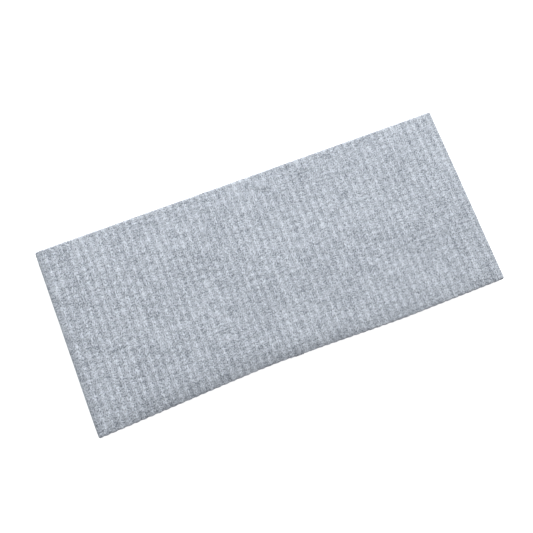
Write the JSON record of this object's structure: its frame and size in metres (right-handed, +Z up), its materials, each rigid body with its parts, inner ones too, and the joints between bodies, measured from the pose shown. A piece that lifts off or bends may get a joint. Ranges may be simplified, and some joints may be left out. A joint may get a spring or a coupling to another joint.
{
  "type": "spa headband",
  "caption": "Wide soft rib-knit headband, a closed two-ply loop that lies flat and opens to a round ring to hold hair back from the face.",
  "frame": {"origin": "middle of the flat band's footprint, on the surface that it lies on", "axes": "+X along the flat band's length, +Y across its width towards the edge with the closing thread, +Z up through the back wall to the front wall"},
  "size_m": [0.24, 0.105, 0.0066],
  "materials": {
    "outer_knit": "heather grey rib knit",
    "inner_knit": "heather grey rib knit, inner face",
    "thread": "matt spun thread"
  },
  "bodies": {
    "back_left_half": {"back_left_half_outer_ply": "outer_knit", "back_left_half_inner_ply": "inner_knit", "back_left_half_closing_thread": "thread", "back_seam_left_allowance": "inner_knit", "back_seam_thread": "thread", "back_seam_left_overlock_thread": "thread"},
    "back_left": {"back_left_outer_ply": "outer_knit", "back_left_inner_ply": "inner_knit", "back_left_closing_thread": "thread"},
    "back_left_end": {"back_left_end_outer_ply": "outer_knit", "back_left_end_inner_ply": "inner_knit", "back_left_end_closing_thread": "thread"},
    "left_turn": {"left_turn_outer_ply": "outer_knit", "left_turn_inner_ply": "inner_knit", "left_turn_closing_thread": "thread"},
    "front_left_end": {"front_left_end_outer_ply": "outer_knit", "front_left_end_inner_ply": "inner_knit", "front_left_end_closing_thread": "thread"},
    "front_left": {"front_left_outer_ply": "outer_knit", "front_left_inner_ply": "inner_knit", "front_left_closing_thread": "thread"},
    "front_centre": {"front_centre_outer_ply": "outer_knit", "front_centre_inner_ply": "inner_knit", "front_centre_closing_thread": "thread"},
    "front_right": {"front_right_outer_ply": "outer_knit", "front_right_inner_ply": "inner_knit", "front_right_closing_thread": "thread"},
    "front_right_end": {"front_right_end_outer_ply": "outer_knit", "front_right_end_inner_ply": "inner_knit", "front_right_end_closing_thread": "thread"},
    "right_turn": {"right_turn_outer_ply": "outer_knit", "right_turn_inner_ply": "inner_knit", "right_turn_closing_thread": "thread"},
    "back_right_end": {"back_right_end_outer_ply": "outer_knit", "back_right_end_inner_ply": "inner_knit", "back_right_end_closing_thread": "thread"},
    "back_right": {"back_right_outer_ply": "outer_knit", "back_right_inner_ply": "inner_knit", "back_right_closing_thread": "thread"},
    "back_right_half": {"back_right_half_outer_ply": "outer_knit", "back_right_half_inner_ply": "inner_knit", "back_right_half_closing_thread": "thread", "back_seam_right_allowance": "inner_knit", "back_seam_right_overlock_thread": "thread"}
  },
  "joints": [
    {"name": "back_left_inner_bend", "type": "hinge", "parent": "back_left_half", "child": "back_left", "pos_m": [-0.024, 0, 0.0025], "axis": [0, 1, 0], "range_deg": [0, 36]},
    {"name": "back_left_outer_bend", "type": "hinge", "parent": "back_left", "child": "back_left_end", "pos_m": [-0.072, 0, 0.0025], "axis": [0, 1, 0], "range_deg": [0, 36]},
    {"name": "left_fold_lower", "type": "hinge", "parent": "back_left_end", "child": "left_turn", "pos_m": [-0.1167, 0, 0], "axis": [0, -1, 0], "range_deg": [0, 72]},
    {"name": "left_fold_upper", "type": "hinge", "parent": "left_turn", "child": "front_left_end", "pos_m": [-0.1167, 0, 0.0066], "axis": [0, -1, 0], "range_deg": [0, 72]},
    {"name": "front_left_outer_bend", "type": "hinge", "parent": "front_left_end", "child": "front_left", "pos_m": [-0.072, 0, 0.0041], "axis": [0, 1, 0], "range_deg": [0, 36]},
    {"name": "front_left_inner_bend", "type": "hinge", "parent": "front_left", "child": "front_centre", "pos_m": [-0.024, 0, 0.0041], "axis": [0, 1, 0], "range_deg": [0, 36]},
    {"name": "front_right_inner_bend", "type": "hinge", "parent": "front_centre", "child": "front_right", "pos_m": [0.024, 0, 0.0041], "axis": [0, 1, 0], "range_deg": [0, 36]},
    {"name": "front_right_outer_bend", "type": "hinge", "parent": "front_right", "child": "front_right_end", "pos_m": [0.072, 0, 0.0041], "axis": [0, 1, 0], "range_deg": [0, 36]},
    {"name": "right_fold_upper", "type": "hinge", "parent": "front_right_end", "child": "right_turn", "pos_m": [0.1167, 0, 0.0066], "axis": [0, -1, 0], "range_deg": [0, 72]},
    {"name": "right_fold_lower", "type": "hinge", "parent": "right_turn", "child": "back_right_end", "pos_m": [0.1167, 0, 0], "axis": [0, -1, 0], "range_deg": [0, 72]},
    {"name": "back_right_outer_bend", "type": "hinge", "parent": "back_right_end", "child": "back_right", "pos_m": [0.072, 0, 0.0025], "axis": [0, 1, 0], "range_deg": [0, 36]},
    {"name": "back_right_inner_bend", "type": "hinge", "parent": "back_right", "child": "back_right_half", "pos_m": [0.024, 0, 0.0025], "axis": [0, 1, 0], "range_deg": [0, 36]}
  ],
  "couplings": [
    {"joint": "back_left_inner_bend", "follows": "left_fold_lower", "ratio": 0.5},
    {"joint": "back_left_outer_bend", "follows": "left_fold_lower", "ratio": 0.5},
    {"joint": "left_fold_upper", "follows": "left_fold_lower", "ratio": 1},
    {"joint": "front_left_outer_bend", "follows": "left_fold_lower", "ratio": 0.5},
    {"joint": "front_left_inner_bend", "follows": "left_fold_lower", "ratio": 0.5},
    {"joint": "front_right_inner_bend", "follows": "left_fold_lower", "ratio": 0.5},
    {"joint": "front_right_outer_bend", "follows": "left_fold_lower", "ratio": 0.5},
    {"joint": "right_fold_upper", "follows": "left_fold_lower", "ratio": 1},
    {"joint": "right_fold_lower", "follows": "left_fold_lower", "ratio": 1},
    {"joint": "back_right_outer_bend", "follows": "left_fold_lower", "ratio": 0.5},
    {"joint": "back_right_inner_bend", "follows": "left_fold_lower", "ratio": 0.5}
  ]
}
